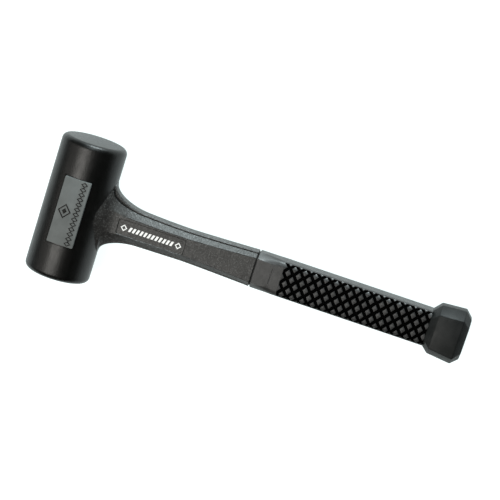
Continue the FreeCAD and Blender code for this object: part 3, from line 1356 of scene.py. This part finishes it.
@dataclass
class Insides:
    """The steel canister, its loose shot and the handle's core."""

    bench: Bench
    ball: float = 6.7 * MM
    gap: float = 0.15 * MM

    def shot(self) -> None:
        """The charge of balls, in the same layers and rings as the frame's."""
        low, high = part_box("steel_shot")
        pitch = self.ball + self.gap
        layers = round((high.y - low.y - self.ball) / pitch) + 1
        bm = bmesh.new()
        for layer in range(layers):
            y = low.y + self.ball / 2 + layer * pitch
            places = [(0.0, 0.0)]
            for count in (6, 12):
                radius = pitch / (2 * math.sin(math.pi / count))
                start = 0 if count % 12 else math.pi / count
                turns = [start + 2 * math.pi * n / count for n in range(count)]
                places += [(radius * math.cos(t), radius * math.sin(t)) for t in turns]
            for x, z in places:
                place = Matrix.Translation(Vector((x, y, z)))
                bmesh.ops.create_icosphere(bm, subdivisions=2, radius=self.ball / 2, matrix=place)
        piece = Piece("shot_balls", SHOT_FINISH, "shot_steel", ("steel_shot",), body=SHOT_BODY, crease=60.0)
        self.bench.finish(bm, piece)

    def build(self) -> None:
        """Make the shot and dress the steel pieces."""
        self.shot()
        for node in ("canister_tube", "canister_cap_lower", "canister_cap_upper"):
            self.bench.dress_node(node, CANISTER_FINISH)
        for node in ("core_saddle", "handle_core"):
            self.bench.dress_node(node, CORE_FINISH)
        self.bench.dress_node("core_washer", ZINC_FINISH)


# --- Studio ---


@dataclass(frozen=True)
class Softbox:
    """A rectangular studio light that faces the mallet from a direction given in degrees."""

    name: str
    elevation: float
    azimuth: float
    size: Pair
    power: float
    colour: Colour = (1.0, 1.0, 1.0)

    def direction(self) -> Vector:
        """Which way the light lies from the mallet.

        Returns:
            The unit vector.
        """
        up, round_ = math.radians(self.elevation), math.radians(self.azimuth)
        return Vector((math.cos(up) * math.cos(round_), math.cos(up) * math.sin(round_), math.sin(up)))


@dataclass
class Studio:
    """The pale floor, the soft lights and the camera."""

    aim: Point = (0.13417, 0.06496, 0.0)
    eye: Point = (0.22340, 0.33689, 1.3575)
    roll: float = 17.915
    lens: float = 134.26
    floor_size: Pair = (1.0, 0.9)
    floor_gap: float = 0.0001
    light_distance: float = 2.0
    pad_rest: float = 10.1 * MM
    butt_rest: float = 4.6 * MM
    floor_glow: Colour = (0.90, 1.0, 1.0)
    floor_strength: float = 1.02
    room_tint: Colour = (0.85, 0.95, 1.0)
    room_dim: float = 0.005
    room_pale: float = 1.1
    boxes: tuple[Softbox, ...] = (
        Softbox("low_wall", 5.6, 90.0, (0.50, 0.38), 60.0, COOL),
        Softbox("mid_wall", 48.0, 90.0, (0.60, 0.60), 16.0, COOL),
        Softbox("key", 67.0, 212.0, (1.0, 1.15), 34.0, WARM),
        Softbox("left_wall", 28.0, 190.0, (1.10, 0.80), 4.0, WARM),
    )

    def floor(self, bench: Bench) -> None:
        """A pale floor that touches the head's lower pad and the butt.

        Args:
            bench: Where the floor is made.
        """
        head_low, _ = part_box("head_casing")
        butt_low, butt_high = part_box("butt_cap")
        near = Vector((self.pad_rest, 0, head_low.z))
        far = Vector((butt_high.x - self.butt_rest, 0, butt_low.z))
        slope = (far.z - near.z) / (far.x - near.x)
        bm = bmesh.new()
        bmesh.ops.create_grid(bm, x_segments=2, y_segments=2, size=0.5)
        scale(bm, (*self.floor_size, 1.0))
        move(bm, (self.aim[0], self.aim[1], 0))
        for vert in bm.verts:
            vert.co.z = near.z + (vert.co.x - near.x) * slope - self.floor_gap
        made = bench.mesh_from(bm, "studio_floor")
        sheet = NodeSheet("floor_paper")
        sheet.shader.inputs["Roughness"].default_value = 0.9
        sheet.shader.inputs["Specular IOR Level"].default_value = 0.1
        sheet.shader.inputs["Emission Color"].default_value = (*self.floor_glow, 1.0)
        sheet.shader.inputs["Emission Strength"].default_value = self.floor_strength
        fibre = sheet.noise(3.0 * MM, 3.0)
        tone = sheet.ramp(fibre, "Fac", (0.3, (0.24, 0.25, 0.25)), (0.7, (0.27, 0.28, 0.28)))
        sheet.join(tone, "Color", sheet.shader, "Base Color")
        made.data.materials.append(sheet.material)

    def light(self, box: Softbox) -> None:
        """Hang one softbox.

        Args:
            box: The softbox.
        """
        lamp = bpy.data.lights.new(box.name, "AREA")
        lamp.shape = "RECTANGLE"
        lamp.size, lamp.size_y = box.size
        lamp.energy = box.power
        lamp.color = box.colour
        made = bpy.data.objects.new(box.name, lamp)
        made.location = Vector(self.aim) + box.direction() * self.light_distance
        made.rotation_euler = (-box.direction()).to_track_quat("-Z", "Y").to_euler()
        bpy.context.scene.collection.objects.link(made)

    def surroundings(self) -> None:
        """A room that is pale to the eye and dim in reflections."""
        world = bpy.data.worlds.new("studio_room")
        world.use_nodes = True
        tree = world.node_tree
        tree.nodes.clear()
        output = tree.nodes.new("ShaderNodeOutputWorld")
        mix = tree.nodes.new("ShaderNodeMixShader")
        path = tree.nodes.new("ShaderNodeLightPath")
        tree.links.new(path.outputs["Is Camera Ray"], mix.inputs["Fac"])
        tones = ((self.room_tint, self.room_dim), ((1.0, 1.0, 1.0), self.room_pale))
        for socket, (colour, strength) in zip((1, 2), tones):
            tone = tree.nodes.new("ShaderNodeBackground")
            tone.inputs["Color"].default_value = (*colour, 1.0)
            tone.inputs["Strength"].default_value = strength
            tree.links.new(tone.outputs["Background"], mix.inputs[socket])
        tree.links.new(mix.outputs["Shader"], output.inputs["Surface"])
        bpy.context.scene.world = world

    def camera(self) -> None:
        """The camera, above the mallet and turned so that the handle falls to the right."""
        lens = bpy.data.cameras.new("camera")
        lens.lens = self.lens
        lens.sensor_width = 36.0
        lens.clip_start, lens.clip_end = 0.01, 50.0
        made = bpy.data.objects.new("camera", lens)
        back = (Vector(self.eye) - Vector(self.aim)).normalized()
        right = Vector((0, 1, 0)).cross(back).normalized()
        up = back.cross(right)
        turned = Matrix((right, up, back)).transposed().to_4x4()
        roll = Matrix.Rotation(math.radians(self.roll), 4, "Z")
        made.matrix_world = Matrix.Translation(Vector(self.eye)) @ turned @ roll
        bpy.context.scene.collection.objects.link(made)
        bpy.context.scene.camera = made

    def build(self, bench: Bench) -> None:
        """Set up the studio."""
        self.floor(bench)
        for box in self.boxes:
            self.light(box)
        self.surroundings()
        self.camera()
        bpy.context.scene.view_settings.view_transform = "Standard"


def main() -> None:
    """Build the mallet piece by piece, then the studio."""
    logging.basicConfig(level=logging.INFO, format="%(name)s: %(message)s")
    bench = Bench()
    steps: list[Callable[[], None]] = [
        Head(bench).build,
        Neck(bench).build,
        Grip(bench).build,
        Butt(bench).build,
        Insides(bench).build,
    ]
    for step in steps:
        step()
    Studio().build(bench)


if __name__ == "__main__":
    main()
